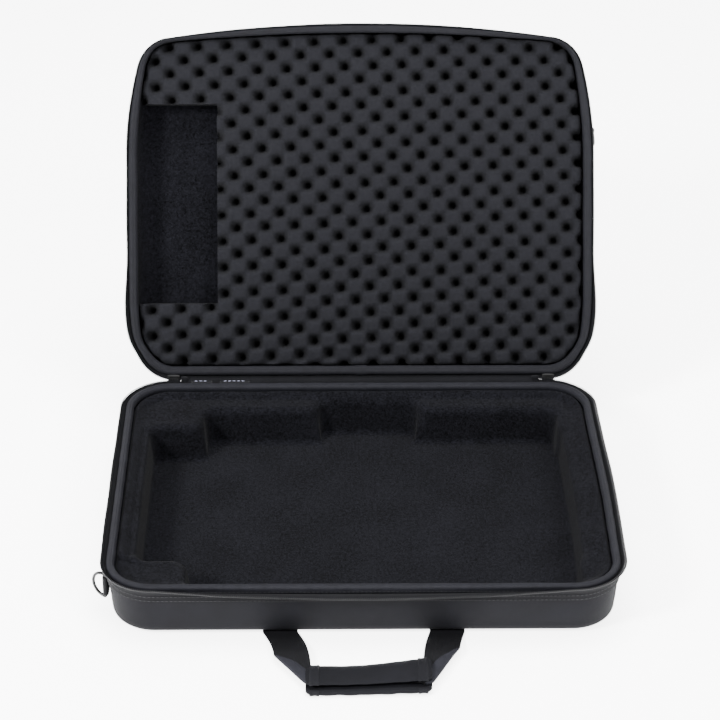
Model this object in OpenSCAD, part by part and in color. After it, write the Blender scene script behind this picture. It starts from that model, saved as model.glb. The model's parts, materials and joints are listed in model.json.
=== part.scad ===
// Zipped moulded carry case, lid open, lying on its base.
// Frame: origin at the centre of the face it rests on, +X to the right, +Y towards the hinge, +Z up. Units mm.

/* [Case] */
// Width of the shell at the rim
case_w = 540; // [500:5:560]
// Depth of the shell at the rim, front to hinge side
case_d = 410; // [390:5:440]
// Height of the base half, floor to rim
base_h = 65; // [62:1:72]
// Height of the lid half, rim to top
lid_h = 50; // [48:1:60]
// Plan radius of the shell corners
corner_r = 50; // [48:1:54]
// Thickness of the moulded shell wall
shell_t = 4.5; // [4:0.25:5]
// Radius between the shell's side and its bottom
edge_r = 28; // [26:1:29]
// Opening angle of the lid in the stored pose
open_angle = 118; // [95:1:118]

/* [Inside] */
// Height of the top of the base insert
insert_top = 55; // [52:1:56]
// Height of the floor of the base insert
insert_floor = 12; // [11:1:16]
// Thickness of the lid foam at its peaks
foam_t = 34; // [28:1:35]
// Distance between dimples along a foam row
dimple_pitch = 34; // [33:1:42]
// Distance between foam rows
dimple_row = 15.2; // [15.2:0.4:20]
// Radius of one foam dimple
dimple_r = 4.5; // [3.5:0.25:5]

/* [Handles] */
// Width of the handle webbing
web_w = 37; // [34:1:39]
// Distance from the middle to the centre of each handle leg
leg_x = 88; // [86:1:92]
// Length of the padded grip
grip_len = 130; // [118:2:130]
// Half of the padded grip's thickness
grip_r = 6.5; // [6.2:0.1:8]

/* [Zip and rings] */
// Distance of the zip line outside the shell
zip_out = 7; // [7:0.1:7.4]
// Height of one half of the zip coil
coil_h = 3.9; // [3.6:0.1:4]
// Clear width of each D-ring
ring_gap = 25; // [24:0.5:26]
// Radius of the D-ring wire
ring_wire = 1.75; // [1.5:0.05:1.9]

/* [Hidden] */
$fn = 96;
foot_h = 2.4;
foot_margin = 38;
foot_r = 24;
rim_gap = 2;
zip_z = base_h + rim_gap/2;
hinge_y = case_d/2 + zip_out;
corner_x = case_w/2 - corner_r;
corner_y = case_d/2 - corner_r;
glue = 0.1;
// binding round each rim
bind_t = 0.8;
bind_leg = 8;
// zip tape, coil, sliders
tape_t = 0.8;
tape_root_top = base_h - 11;
tape_root_low = base_h - 19;
coil_t = 2.6;
coil_in = zip_out - coil_t/2;
coil_out = zip_out + coil_t/2;
zip_end_x = corner_x - 14;
lid_zip_start = 24;
slider_len = 14;
slider_gap = 0.5;
slider_plate = 1.2;
slider_lip = 0.8;
slider_out = coil_out + slider_gap + slider_plate;
slider_half = coil_h + 0.6 + slider_lip;
bar_r = 1.1;
bar_out = slider_out + 2.6;
bar_mid = zip_z - 2.5;
bar_half = 1.9;
lug_t = 1.2;
lug_w = 3.2;
pull_gap = 0.15;
pull_len = 12;
pull_t = 1.4;
pull_h = 3.4;
pull_eye_r = 2.3;
pull_angle = 25;
stop_len = 3;
// hinge panel and labels
panel_half = zip_end_x - 6;
panel_t = 1.2;
label_t = 0.5;
// base insert
insert_left = -236;
insert_right = 230;
insert_front = -case_d/2 + 19;
insert_back = case_d/2 - 44;
notch_back = case_d/2 - 23;
notch_left = -50;
notch_right = 66;
block_front_y = insert_front + 50;
block_front_x = insert_left + 49;
block_back_y = insert_back - 36;
block_back_x = insert_left + 55;
bay_r = 9;
groove_x = insert_left - 12.5;
groove_w = 5;
groove_d = 2;
// lid lining and foam
lining_t = 2;
foam_gap = 0.6;
foam_skew = -2.3;
foam_shift_x = -10.7;
foam_shift_y = -1.3;
cut_x = -168;
cut_back = 123;
cut_front = -111;
dimple_depth = 15;
dimple_edge = 9;
// handles
web_t = 1.8;
web_z = 0.55;
pivot_y = -case_d/2 + 7;
pivot_z = web_z + web_t/2;
anchor_back = -case_d/2 + foot_margin - 1.5;
leg_end = 58;
grip_y = 82;
grip_z = grip_r + 0.2 - pivot_z;
grip_flat = 7.5;
core_w = 18;
core_t = 3.8;
core_over = 2;
cover_t = 1.2;
grip_seam = 0.3;
collar_w = 9;
collar_top = 1;
flap_len = 14;
flap_t = 1.8;
strip_t = 0.7;
flap_low = 2*strip_t + 0.3 - grip_seam;
lid_pivot_z = web_z - web_t/2 - 0.2;
lid_strap_angle = 152;
lid_strap_reach = 90;
// D-rings
ring_y = -case_d/2 + 47;
lid_ring_y = -case_d/2 + 125;
ring_z = 34;
lid_ring_z = 2*zip_z - 34;
tab_t = 1.3;
tab_len = 30;
tab_gap = 0.15;
ring_leg = 2.5;
ring_off = ring_wire + tab_gap + tab_t;
ring_rest = 54;
lid_ring_rest = 9;

// ---------- shared shapes ----------

// A section drawn in (distance from the corner axis, height), carried round one straight side.
module side_run(length, mid) {
  translate([mid, length/2, 0])
    rotate([90, 0, 0])
      linear_extrude(length)
        children();
}

// The same section carried round the whole rim.
module rim_loop() {
  for (turn = [0, 180]) {
    rotate([0, 0, turn]) {
      side_run(2*corner_y, corner_x)
        children();
      rotate([0, 0, 90])
        side_run(2*corner_x, corner_y)
          children();
      translate([corner_x, corner_y, 0])
        rotate_extrude(angle = 90)
          children();
      translate([-corner_x, corner_y, 0])
        rotate([0, 0, 90])
          rotate_extrude(angle = 90)
            children();
    }
  }
}

// The same section round the front and both sides, with the rear corners from the angle start.
module zip_loop(start) {
  for (side = [1, -1]) {
    scale([side, 1, 1]) {
      side_run(2*corner_y, corner_x)
        children();
      translate([corner_x, -corner_y, 0])
        rotate([0, 0, -90])
          rotate_extrude(angle = 90)
            children();
      translate([corner_x, corner_y, 0])
        rotate_extrude(angle = 90 - start)
          children();
    }
  }
  rotate([0, 0, -90])
    side_run(2*corner_x, corner_y)
      children();
}

// The straight stub of the same section behind each rear corner.
module zip_stubs(inner_x) {
  stub = corner_x - inner_x;
  for (side = [1, -1]) {
    translate([side*(inner_x + stub/2), 0, 0])
      rotate([0, 0, 90])
        side_run(stub, corner_y)
          children();
  }
}

module tub_section(r, low, high, fillet) {
  translate([0, low + fillet])
    square([r, high - low - fillet]);
  translate([0, low])
    square([r - fillet, fillet]);
  intersection() {
    translate([r - fillet, low + fillet])
      circle(fillet);
    translate([r - fillet, low])
      square([fillet, fillet]);
  }
}

// A solid tray blank, set in from the shell's outside by inset.
module tub(inset, low, high) {
  rim_loop()
    tub_section(corner_r - inset, low, high, edge_r - inset);
  translate([-corner_x, -corner_y, low])
    cube([2*corner_x, 2*corner_y, high - low]);
}

module quarter_disc(r) {
  intersection() {
    circle(r);
    square([r, r]);
  }
}

module rounded_plate(w, d, r, t) {
  linear_extrude(t) {
    square([w, d - 2*r], center = true);
    square([w - 2*r, d], center = true);
    for (turn = [0, 180]) {
      rotate([0, 0, turn]) {
        translate([w/2 - r, d/2 - r])
          quarter_disc(r);
        translate([-w/2 + r, d/2 - r])
          rotate([0, 0, 90])
            quarter_disc(r);
      }
    }
  }
}

// A box cutter between two corners in plan, with its upright edges rounded.
module pocket(x0, y0, x1, y1, low, high) {
  translate([(x0 + x1)/2, (y0 + y1)/2, low])
    rounded_plate(x1 - x0, y1 - y0, bay_r, high - low);
}

// What is cut from a block to round its upright edge; the block lies on the -X, -Y side.
module edge_round(low, high) {
  translate([-bay_r, -bay_r, low])
    linear_extrude(high - low)
      difference() {
        square([bay_r + 1, bay_r + 1]);
        circle(bay_r);
        translate([bay_r, -1])
          square([2, bay_r - 2]);
      }
}

// Closed lid coordinates to the stored pose.
module lid_frame() {
  translate([0, hinge_y, zip_z])
    rotate([-open_angle, 0, 0])
      translate([0, -hinge_y, -zip_z])
        children();
}

// Turns a base-side shape over into the closed lid's place.
module over() {
  translate([0, 0, 2*zip_z])
    mirror([0, 0, 1])
      children();
}

// ---------- shells, linings, bindings ----------

module shell(height) {
  low = base_h - height;
  difference() {
    union() {
      tub(0, low + foot_h, base_h);
      translate([0, 0, low])
        rounded_plate(case_w - 2*foot_margin, case_d - 2*foot_margin, foot_r, foot_h + 1);
    }
    tub(shell_t, low + foot_h + shell_t, base_h + 1);
  }
}

module binding() {
  outer = corner_r + glue;
  inner = corner_r - shell_t - glue;
  rim_loop()
    polygon([
      [outer, base_h - bind_leg], [outer + bind_t, base_h - bind_leg],
      [outer + bind_t, base_h + bind_t], [inner - bind_t, base_h + bind_t],
      [inner - bind_t, base_h - bind_leg], [inner, base_h - bind_leg],
      [inner, base_h], [outer, base_h]
    ]);
}

module base_shell() {
  color("#35363a")
    shell(base_h);
}

module base_binding() {
  color("#45464a")
    binding();
}

module base_insert() {
  top = insert_top + 1;
  color("#28272d")
    difference() {
      tub(shell_t + glue, foot_h + shell_t + glue, insert_top);
      pocket(insert_left, block_front_y, insert_right, block_back_y, insert_floor, top);
      pocket(block_front_x, insert_front, insert_right, block_back_y, insert_floor, top);
      pocket(block_back_x, block_front_y, insert_right, insert_back, insert_floor, top);
      pocket(notch_left, block_front_y, notch_right, notch_back, insert_floor, top);
      translate([block_front_x, block_front_y, 0])
        edge_round(insert_floor, top);
      translate([block_back_x, block_back_y, 0])
        mirror([0, 1, 0])
          edge_round(insert_floor, top);
      translate([groove_x, (block_front_y + block_back_y)/2, insert_top - groove_d])
        rounded_plate(groove_w, block_back_y - block_front_y, groove_w/2 - 0.2, groove_d + 1);
    }
}

// ---------- zip ----------

module tape_section() {
  out = corner_r;
  polygon([
    [out + glue, tape_root_low], [out + glue + tape_t, tape_root_low],
    [out + glue + tape_t, tape_root_top], [out + coil_in - glue, zip_z - coil_h - 1.2],
    [out + coil_in - glue, zip_z - glue], [out + coil_in - glue - tape_t, zip_z - glue],
    [out + coil_in - glue - tape_t, zip_z - coil_h - 0.9], [out + glue, tape_root_top + 0.9]
  ]);
}

module coil_section() {
  translate([corner_r + coil_in, zip_z - coil_h])
    square([coil_t, coil_h - glue]);
}

module base_zip_tape() {
  color("#17181b") {
    zip_loop(0)
      tape_section();
    zip_stubs(zip_end_x)
      tape_section();
  }
}

module base_zip_coil() {
  color("#101114") {
    zip_loop(0)
      coil_section();
    zip_stubs(zip_end_x)
      coil_section();
  }
}

module zip_stops() {
  depth = coil_t + 1.6;
  tall = 2*coil_h + 1.6;
  color("#1c1d20")
    for (side = [1, -1]) {
      translate([side*(zip_end_x - glue - stop_len/2), case_d/2 + zip_out, zip_z])
        cube([stop_len, depth, tall], center = true);
    }
}

module slider_section() {
  edge = 1;
  out = corner_r;
  polygon([
    [out + coil_in + 0.6, zip_z - slider_half], [out + slider_out, zip_z - slider_half],
    [out + slider_out, zip_z + slider_half - edge], [out + slider_out - edge, zip_z + slider_half],
    [out + coil_in + 0.6, zip_z + slider_half], [out + coil_in + 0.6, zip_z + slider_half - slider_lip],
    [out + coil_out + slider_gap, zip_z + slider_half - slider_lip],
    [out + coil_out + slider_gap, zip_z - slider_half + slider_lip],
    [out + coil_in + 0.6, zip_z - slider_half + slider_lip]
  ]);
}

module slider(side) {
  lug_reach = bar_out - slider_out + bar_r;
  translate([side*corner_x, 0, 0]) {
    rotate([0, 0, 90])
      side_run(slider_len, corner_y)
        slider_section();
    for (level = [-1, 1]) {
      translate([0, case_d/2 + slider_out + lug_reach/2, bar_mid + level*(bar_half + lug_t/2)])
        cube([lug_w, lug_reach, lug_t], center = true);
    }
    translate([0, case_d/2 + bar_out, bar_mid])
      cylinder(h = 2*bar_half + lug_t, r = bar_r, center = true);
  }
}

module pull(side) {
  reach = pull_len - pull_h/2;
  translate([side*corner_x, case_d/2 + bar_out, bar_mid])
    rotate([0, 0, side > 0 ? pull_angle : 180 - pull_angle])
      difference() {
        union() {
          cylinder(h = pull_h, r = pull_eye_r, center = true);
          translate([0, -pull_t/2, -pull_h/2])
            cube([reach, pull_t, pull_h]);
          translate([reach, 0, 0])
            rotate([90, 0, 0])
              cylinder(h = pull_t, r = pull_h/2, center = true);
        }
        cylinder(h = pull_h + 1, r = bar_r + pull_gap, center = true);
      }
}

module slider_left() {
  color("#2a2b2e")
    slider(-1);
}

module slider_right() {
  color("#2a2b2e")
    slider(1);
}

module pull_left() {
  color("#303134")
    pull(-1);
}

module pull_right() {
  color("#303134")
    pull(1);
}

// ---------- hinge panel and labels ----------

module panel_bar(length, mid) {
  translate([mid + length/2, 0, 0])
    rotate([0, 0, 90])
      rotate([90, 0, 0])
        mirror([0, 0, 1])
          linear_extrude(length)
            children();
}

module hinge_panel() {
  wall = case_d/2 + glue;
  color("#1b1c1f")
    panel_bar(2*panel_half, 0)
      polygon([
        [wall, tape_root_low], [wall + panel_t, tape_root_low],
        [wall + panel_t, tape_root_top], [hinge_y + panel_t/2, zip_z - 1],
        [hinge_y + panel_t/2, zip_z + 1], [hinge_y - panel_t/2, zip_z + 1],
        [hinge_y - panel_t/2, zip_z - 0.7], [wall, tape_root_top + 0.9]
      ]);
}

// A woven label on the sloping face of the hinge panel, from halfway up the slope to past its top.
module label(length, mid) {
  slope_foot = [case_d/2 + glue, tape_root_top + 0.9];
  slope_head = [hinge_y - panel_t/2, zip_z - 0.7];
  foot = (slope_foot + slope_head)/2 - [glue, 0];
  head = slope_head - [glue, 0];
  panel_bar(length, mid)
    polygon([
      foot, head, head + [0, 1.6], head + [-label_t, 1.6], head - [label_t, 0], foot - [label_t, 0]
    ]);
}

module label_large() {
  color("#5b5c60")
    label(36, -148);
}

module label_small() {
  color("#5b5c60")
    label(26, -187);
}

// ---------- handles ----------

module anchors() {
  for (side = [1, -1]) {
    translate([side*leg_x - web_w/2, pivot_y + web_t/2 + 0.3, web_z])
      cube([web_w, anchor_back - pivot_y - web_t/2 - 0.3, web_t]);
  }
}

module handle_anchors() {
  color("#141518")
    anchors();
}

// A handle loop in its own frame: pivot line on the X axis, reaching towards -Y.
module web_loop(reach, rise, core_x) {
  for (side = [1, -1]) {
    scale([side, 1, 1]) {
      translate([leg_x - web_w/2, -leg_end, -web_t/2])
        cube([web_w, leg_end, web_t]);
      translate([leg_x - web_w/2, 0, 0])
        rotate([0, 90, 0])
          cylinder(h = web_w, r = web_t/2);
      hull() {
        translate([leg_x - web_w/2, -leg_end, -web_t/2])
          cube([web_w, 0.5, web_t]);
        translate([core_x, -reach - core_w/2, rise - core_t/2])
          cube([6, core_w, core_t]);
      }
    }
  }
  translate([-core_x - 1, -reach - core_w/2, rise - core_t/2])
    cube([2*core_x + 2, core_w, core_t]);
}

module handle_frame() {
  translate([0, pivot_y, pivot_z])
    children();
}

module handle_strap() {
  color("#141518")
    handle_frame()
      web_loop(grip_y, grip_z, grip_len/2 + core_over);
}

// The grip's flattened round section, upper half, r thick.
module half_oval(r) {
  translate([-grip_flat, 0])
    square([2*grip_flat, r]);
  translate([grip_flat, 0])
    quarter_disc(r);
  translate([-grip_flat, 0])
    rotate([0, 0, 90])
      quarter_disc(r);
}

// Carries a (Y, Z) section along the grip, turned over for the lower half.
module along_grip(length, top) {
  translate([-length/2, -grip_y, grip_z])
    rotate([90, 0, 90])
      linear_extrude(length)
        mirror([0, top ? 0 : 1])
          children();
}

// Everything of a half that lies clear of the seam.
module clear_of_seam() {
  difference() {
    children();
    translate([-case_w/2, -grip_seam])
      square([case_w, 2*grip_seam]);
  }
}

module half_cover(top) {
  along_grip(grip_len, top)
    clear_of_seam()
      difference() {
        half_oval(grip_r);
        half_oval(grip_r - cover_t);
      }
}

module half_pad(top) {
  along_grip(grip_len - 2*collar_w - 1, top)
    clear_of_seam()
      difference() {
        half_oval(grip_r - cover_t - 0.1);
        translate([-core_w/2 - 0.3, -1])
          square([core_w + 0.6, core_t/2 + 1.3]);
      }
}

// The flap edge of a half, in front of the grip, from one height to another.
module flap_edge(low) {
  translate([-grip_len/2, -grip_y - grip_flat - grip_r - flap_len, grip_z + low])
    cube([grip_len, flap_len + cover_t/2, flap_t]);
}

module grip_pad() {
  color("#26262a")
    handle_frame()
      half_pad(false);
}

module grip_cover() {
  color("#302f35")
    handle_frame() {
      half_cover(false);
      flap_edge(-grip_seam - flap_t);
    }
}

module grip_collars() {
  color("#3a3a40")
    handle_frame()
      for (side = [1, -1]) {
        translate([side*(grip_len - collar_w)/2, 0, 0])
          difference() {
            union() {
              along_grip(collar_w, false)
                half_oval(grip_r - cover_t - 0.1);
              translate([-collar_w/2, -grip_y - core_w/2 - 1.2, grip_z])
                cube([collar_w, core_w + 2.4, core_t/2 + collar_top]);
            }
            translate([-collar_w/2 - 1, -grip_y - core_w/2 - 0.2, grip_z - core_t/2 - 0.2])
              cube([collar_w + 2, core_w + 0.4, core_t + 0.4]);
          }
      }
}

module strip(level) {
  translate([-grip_len/2 + 6, -grip_y - grip_flat - grip_r - flap_len + 1.5, grip_z + level])
    cube([grip_len - 12, flap_len - 3, strip_t]);
}

module grip_hook() {
  color("#0e0f11")
    handle_frame()
      strip(-grip_seam + 0.02);
}

module flap_pad() {
  color("#26262a")
    handle_frame()
      half_pad(true);
}

module flap_cover() {
  color("#302f35")
    handle_frame() {
      half_cover(true);
      flap_edge(flap_low);
    }
}

module flap_loop() {
  color("#0e0f11")
    handle_frame()
      strip(flap_low - strip_t - 0.02);
}

// ---------- D-rings ----------

// A sewn webbing tab with the ring's bar at the origin, the shell wall on the -X side, tail to +Y.
module ring_tab() {
  high = ring_gap - 1;
  difference() {
    union() {
      cylinder(h = high, r = ring_off - 0.05, center = true);
      translate([-ring_off + 0.05, 0, -high/2])
        cube([2*tab_t, tab_len, high]);
    }
    cylinder(h = high + 1, r = ring_wire + tab_gap, center = true);
  }
}

// The ring itself, bar on the Z axis, reaching towards +X.
module ring_wire_shape() {
  arc_r = ring_gap/2 + ring_wire;
  cylinder(h = 2*arc_r, r = ring_wire - 0.05, center = true);
  for (level = [-1, 1]) {
    translate([-ring_wire, 0, level*arc_r])
      rotate([0, 90, 0])
        cylinder(h = ring_leg + ring_wire, r = ring_wire);
  }
  translate([ring_leg, 0, 0])
    rotate([90, 0, 0])
      rotate([0, 0, -90])
        rotate_extrude(angle = 180)
          translate([arc_r, 0])
            circle(ring_wire);
}

// Puts a ring or tab of the right-hand side against the shell's side wall.
module ring_place(along, level) {
  translate([case_w/2 + ring_off + glue, along, level])
    children();
}

module ring_tab_left() {
  color("#18191c")
    mirror([1, 0, 0])
      ring_place(ring_y, ring_z)
        ring_tab();
}

module d_ring_left() {
  color("#6b6d72")
    mirror([1, 0, 0])
      ring_place(ring_y, ring_z)
        rotate([0, 0, 90 - ring_rest])
          ring_wire_shape();
}

module ring_tab_right() {
  color("#18191c")
    lid_frame()
      ring_place(lid_ring_y, lid_ring_z)
        ring_tab();
}

module d_ring_right() {
  color("#6b6d72")
    lid_frame()
      ring_place(lid_ring_y, lid_ring_z)
        rotate([0, 0, 90 - lid_ring_rest])
          ring_wire_shape();
}

// ---------- lid ----------

module lid_shell() {
  color("#35363a")
    lid_frame()
      over()
        shell(lid_h);
}

module lid_lining() {
  low = base_h - lid_h + foot_h + shell_t;
  color("#141518")
    lid_frame()
      over()
        difference() {
          tub(shell_t + glue, low + glue, base_h - bind_leg - 1);
          tub(shell_t + lining_t, low + lining_t, base_h);
        }
}

module lid_foam() {
  low = base_h - lid_h + foot_h + shell_t + lining_t + foam_gap;
  inset = shell_t + lining_t + foam_gap;
  top = low + foam_t;
  span_x = case_w/2 - inset - dimple_edge;
  span_y = case_d/2 - inset - dimple_edge;
  columns = floor(span_x/dimple_pitch) + 2;
  rows = floor(span_y/dimple_row) + 2;
  color("#2a2b2f")
    lid_frame()
      over()
        difference() {
          tub(inset, low, top);
          translate([-case_w, cut_front, low - 1])
            cube([case_w + cut_x, cut_back - cut_front, foam_t + 2]);
          for (row = [-rows : rows])
            for (column = [-columns : columns]) {
              flat_x = (column + (row % 2 == 0 ? 0 : 0.5))*dimple_pitch;
              flat_y = row*dimple_row;
              x = foam_shift_x + flat_x*cos(foam_skew) - flat_y*sin(foam_skew);
              y = foam_shift_y + flat_x*sin(foam_skew) + flat_y*cos(foam_skew);
              in_foam = abs(x) < span_x && abs(y) < span_y;
              in_corner = abs(x) > span_x - corner_r/3 && abs(y) > span_y - corner_r/3;
              in_cut = x < cut_x + dimple_edge && y > cut_front - dimple_edge
                && y < cut_back + dimple_edge;
              if (in_foam && !in_corner && !in_cut)
                translate([x, y, top - dimple_depth])
                  cylinder(h = dimple_depth + 1, r = dimple_r, $fn = 48);
            }
        }
}

module lid_binding() {
  color("#45464a")
    lid_frame()
      over()
        binding();
}

module lid_zip_tape() {
  color("#17181b")
    lid_frame()
      over()
        zip_loop(lid_zip_start)
          tape_section();
}

module lid_zip_coil() {
  color("#101114")
    lid_frame()
      over()
        zip_loop(lid_zip_start)
          coil_section();
}

module lid_anchors() {
  color("#141518")
    lid_frame()
      translate([0, 0, base_h + lid_h + rim_gap])
        mirror([0, 0, 1])
          anchors();
}

module lid_strap() {
  color("#141518")
    lid_frame()
      translate([0, pivot_y, base_h + lid_h + rim_gap - lid_pivot_z])
        rotate([-lid_strap_angle, 0, 0])
          web_loop(lid_strap_reach, 0, grip_len/2 + core_over);
}

base_shell();
base_insert();
base_binding();
base_zip_tape();
base_zip_coil();
zip_stops();
hinge_panel();
label_large();
label_small();
handle_anchors();
ring_tab_left();
d_ring_left();
handle_strap();
grip_pad();
grip_cover();
grip_collars();
grip_hook();
flap_pad();
flap_cover();
flap_loop();
slider_left();
slider_right();
pull_left();
pull_right();
lid_shell();
lid_lining();
lid_foam();
lid_binding();
lid_zip_tape();
lid_zip_coil();
lid_anchors();
lid_strap();
ring_tab_right();
d_ring_right();
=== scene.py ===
"""Looks of a zipped, moulded carry case that lies open, built round its CAD frame."""

import json
import math

import bmesh
import bpy
import numpy as np
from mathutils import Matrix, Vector


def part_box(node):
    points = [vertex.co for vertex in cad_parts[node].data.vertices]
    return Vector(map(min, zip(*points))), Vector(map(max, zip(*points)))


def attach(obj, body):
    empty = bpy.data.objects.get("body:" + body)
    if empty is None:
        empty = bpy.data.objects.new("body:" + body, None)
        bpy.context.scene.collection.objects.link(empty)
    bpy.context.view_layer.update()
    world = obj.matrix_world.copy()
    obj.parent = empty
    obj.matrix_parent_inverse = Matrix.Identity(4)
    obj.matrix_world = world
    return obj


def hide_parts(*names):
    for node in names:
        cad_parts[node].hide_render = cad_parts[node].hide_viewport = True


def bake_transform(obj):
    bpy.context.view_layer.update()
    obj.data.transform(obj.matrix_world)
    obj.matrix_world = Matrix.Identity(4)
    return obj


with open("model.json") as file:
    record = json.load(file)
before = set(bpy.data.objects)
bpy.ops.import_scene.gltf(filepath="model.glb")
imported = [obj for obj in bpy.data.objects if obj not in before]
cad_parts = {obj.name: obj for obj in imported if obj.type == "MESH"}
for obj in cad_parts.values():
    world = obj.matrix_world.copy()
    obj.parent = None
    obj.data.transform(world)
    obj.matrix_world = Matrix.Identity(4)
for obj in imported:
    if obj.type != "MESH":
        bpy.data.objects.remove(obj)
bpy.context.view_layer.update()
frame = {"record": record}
scene = bpy.context.scene
MM = 0.001

# ---------- sizes, in millimetres ----------

HALF_W, HALF_D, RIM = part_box("base_shell")[1] / MM
JOINTS = {joint["name"]: joint for joint in frame["record"]["behaviour"]["joints"]}
HINGE_Y, ZIP_Z = (value / MM for value in JOINTS["lid_hinge"]["pos_m"][1:])
OPEN_ANGLE = -JOINTS["lid_hinge"]["range_deg"][0]
CORNER_R = 50
CORNER_X = HALF_W - CORNER_R
CORNER_Y = HALF_D - CORNER_R
ZIP_END = CORNER_X - 14
SHELL_T = 4.5
FILLET = 28
FOOT = 2.4
LID_H = 50
LID_FLOOR = RIM - LID_H + FOOT + SHELL_T

# ---------- camera, light, floor ----------


def aim(obj, target):
    """Turns a camera or a light to face a point."""
    way = Vector(target) - obj.location
    obj.rotation_euler = way.to_track_quat("-Z", "Y").to_euler()


def add_camera():
    data = bpy.data.cameras.new("camera")
    data.sensor_width = 36
    data.lens = 131.75
    data.clip_end = 30
    camera = bpy.data.objects.new("camera", data)
    scene.collection.objects.link(camera)
    target = Vector((-0.0026, 0, 0.217))
    elevation = math.radians(30.5)
    azimuth = math.radians(-0.4)
    distance = 2.836
    level = distance * math.cos(elevation)
    rise = distance * math.sin(elevation)
    camera.location = target + Vector((level * math.sin(azimuth), -level * math.cos(azimuth), rise))
    aim(camera, target)
    scene.camera = camera


def add_light(name, place, target, size, power):
    data = bpy.data.lights.new(name, "AREA")
    data.shape = "DISK"
    data.size = size
    data.energy = power
    light = bpy.data.objects.new(name, data)
    scene.collection.objects.link(light)
    light.location = place
    aim(light, target)


def add_world(strength):
    world = bpy.data.worlds.new("world")
    scene.world = world
    world.use_nodes = True
    background = world.node_tree.nodes["Background"]
    background.inputs["Color"].default_value = (1, 1, 1, 1)
    background.inputs["Strength"].default_value = strength


add_camera()
add_light("key", (-2.1, -1.5, 2.0), (0, 0.1, 0.15), size=0.7, power=260)
add_light("fill", (1.6, -1.7, 2.0), (0, 0, 0.1), size=1.2, power=90)
add_light("top", (0.1, 0.3, 3.2), (0, 0, 0), size=2.4, power=240)
add_world(strength=1.7)

# ---------- materials ----------


class Shader:
    """A principled material with short calls for the nodes that its pattern needs."""

    def __init__(self, name, coords="UV"):
        self.material = bpy.data.materials.new(name)
        self.material.use_nodes = True
        self.tree = self.material.node_tree
        self.surface = self.tree.nodes["Principled BSDF"]
        self.coords = self.node("ShaderNodeTexCoord").outputs[coords]

    def node(self, kind, **values):
        made = self.tree.nodes.new(kind)
        for key, value in values.items():
            setattr(made, key, value)
        return made

    def feed(self, source, target):
        self.tree.links.new(source, target)

    def stretch(self, x, y, z):
        node = self.node("ShaderNodeVectorMath", operation="MULTIPLY")
        node.inputs[1].default_value = (x, y, z)
        self.feed(self.coords, node.inputs[0])
        return node.outputs[0]

    def texture(self, kind, output, values, vector=None, **settings):
        node = self.node(kind, **settings)
        for key, value in values.items():
            node.inputs[key].default_value = value
        self.feed(vector or self.coords, node.inputs["Vector"])
        return node.outputs[output]

    def noise(self, size, detail=2.0, rough=0.5, vector=None):
        """Noise whose features are about size millimetres across."""
        values = {"Scale": 1 / (size * MM), "Detail": detail, "Roughness": rough}
        return self.texture("ShaderNodeTexNoise", 0, values, vector)

    def cells(self, size):
        return self.texture("ShaderNodeTexVoronoi", "Distance", {"Scale": 1 / (size * MM)})

    def bands(self, period, direction, wobble):
        """Sine bands that repeat every period millimetres."""
        values = {"Scale": math.pi / 10 / (period * MM), "Distortion": wobble, "Detail": 0}
        settings = {"wave_type": "BANDS", "bands_direction": direction}
        return self.texture("ShaderNodeTexWave", "Color", values, **settings)

    def math(self, operation, *values):
        node = self.node("ShaderNodeMath", operation=operation)
        for slot, value in zip(node.inputs, values):
            if isinstance(value, (int, float)):
                slot.default_value = value
            else:
                self.feed(value, slot)
        return node.outputs[0]

    def mix(self, *parts):
        """The sum of some (pattern, weight) parts."""
        total = None
        for pattern, weight in parts:
            part = self.math("MULTIPLY", pattern, weight)
            total = part if total is None else self.math("ADD", total, part)
        return total

    def attribute(self, name):
        return self.node("ShaderNodeAttribute", attribute_name=name).outputs["Fac"]

    def shade(self, factor, dark, light, low=0.3, high=0.7):
        """Colours the surface from dark to light as factor goes from low to high."""
        ramp = self.node("ShaderNodeValToRGB")
        for stop, position, colour in zip(ramp.color_ramp.elements, (low, high), (dark, light)):
            stop.position = position
            stop.color = (*colour, 1)
        self.feed(factor, ramp.inputs["Fac"])
        self.feed(ramp.outputs["Color"], self.surface.inputs["Base Color"])

    def bump(self, height, depth, under=None):
        """Raises the surface by up to depth millimetres where height is 1."""
        node = self.node("ShaderNodeBump")
        node.inputs["Distance"].default_value = depth * MM
        self.feed(height, node.inputs["Height"])
        if under is not None:
            self.feed(under, node.inputs["Normal"])
        self.feed(node.outputs[0], self.surface.inputs["Normal"])
        return node.outputs[0]

    def finish(self, rough, sheen=0.0, sheen_rough=0.4, metal=0.0, specular=0.5):
        values = {
            "Roughness": rough,
            "Sheen Weight": sheen,
            "Sheen Roughness": sheen_rough,
            "Metallic": metal,
            "Specular IOR Level": specular,
        }
        for name, value in values.items():
            self.surface.inputs[name].default_value = value
        return self.material


def grey(level, blue=1.32):
    return (level * 0.97, level * 0.985, level * blue)


def woven(name, dark, light, yarn, rough, depth=0.12, coords="UV"):
    """A plain weave: warp and weft cross every yarn millimetres, over slow wear and tone changes."""
    look = Shader(name, coords)
    across, along = (look.math("SUBTRACT", look.bands(yarn * 2, way, 0.4), 0.5) for way in "XY")
    cross = look.math("MULTIPLY_ADD", look.math("MULTIPLY", across, along), 2.0, 0.5)
    tone = look.mix((look.noise(38, 3), 0.7), (cross, 0.35), (look.noise(1.6, 3, 0.7), 0.45))
    look.shade(tone, grey(dark), grey(light), 0.4, 0.95)
    look.bump(look.noise(14, 3), 0.5, under=look.bump(cross, depth))
    return look.finish(rough, 0.01, specular=0.06)


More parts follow.
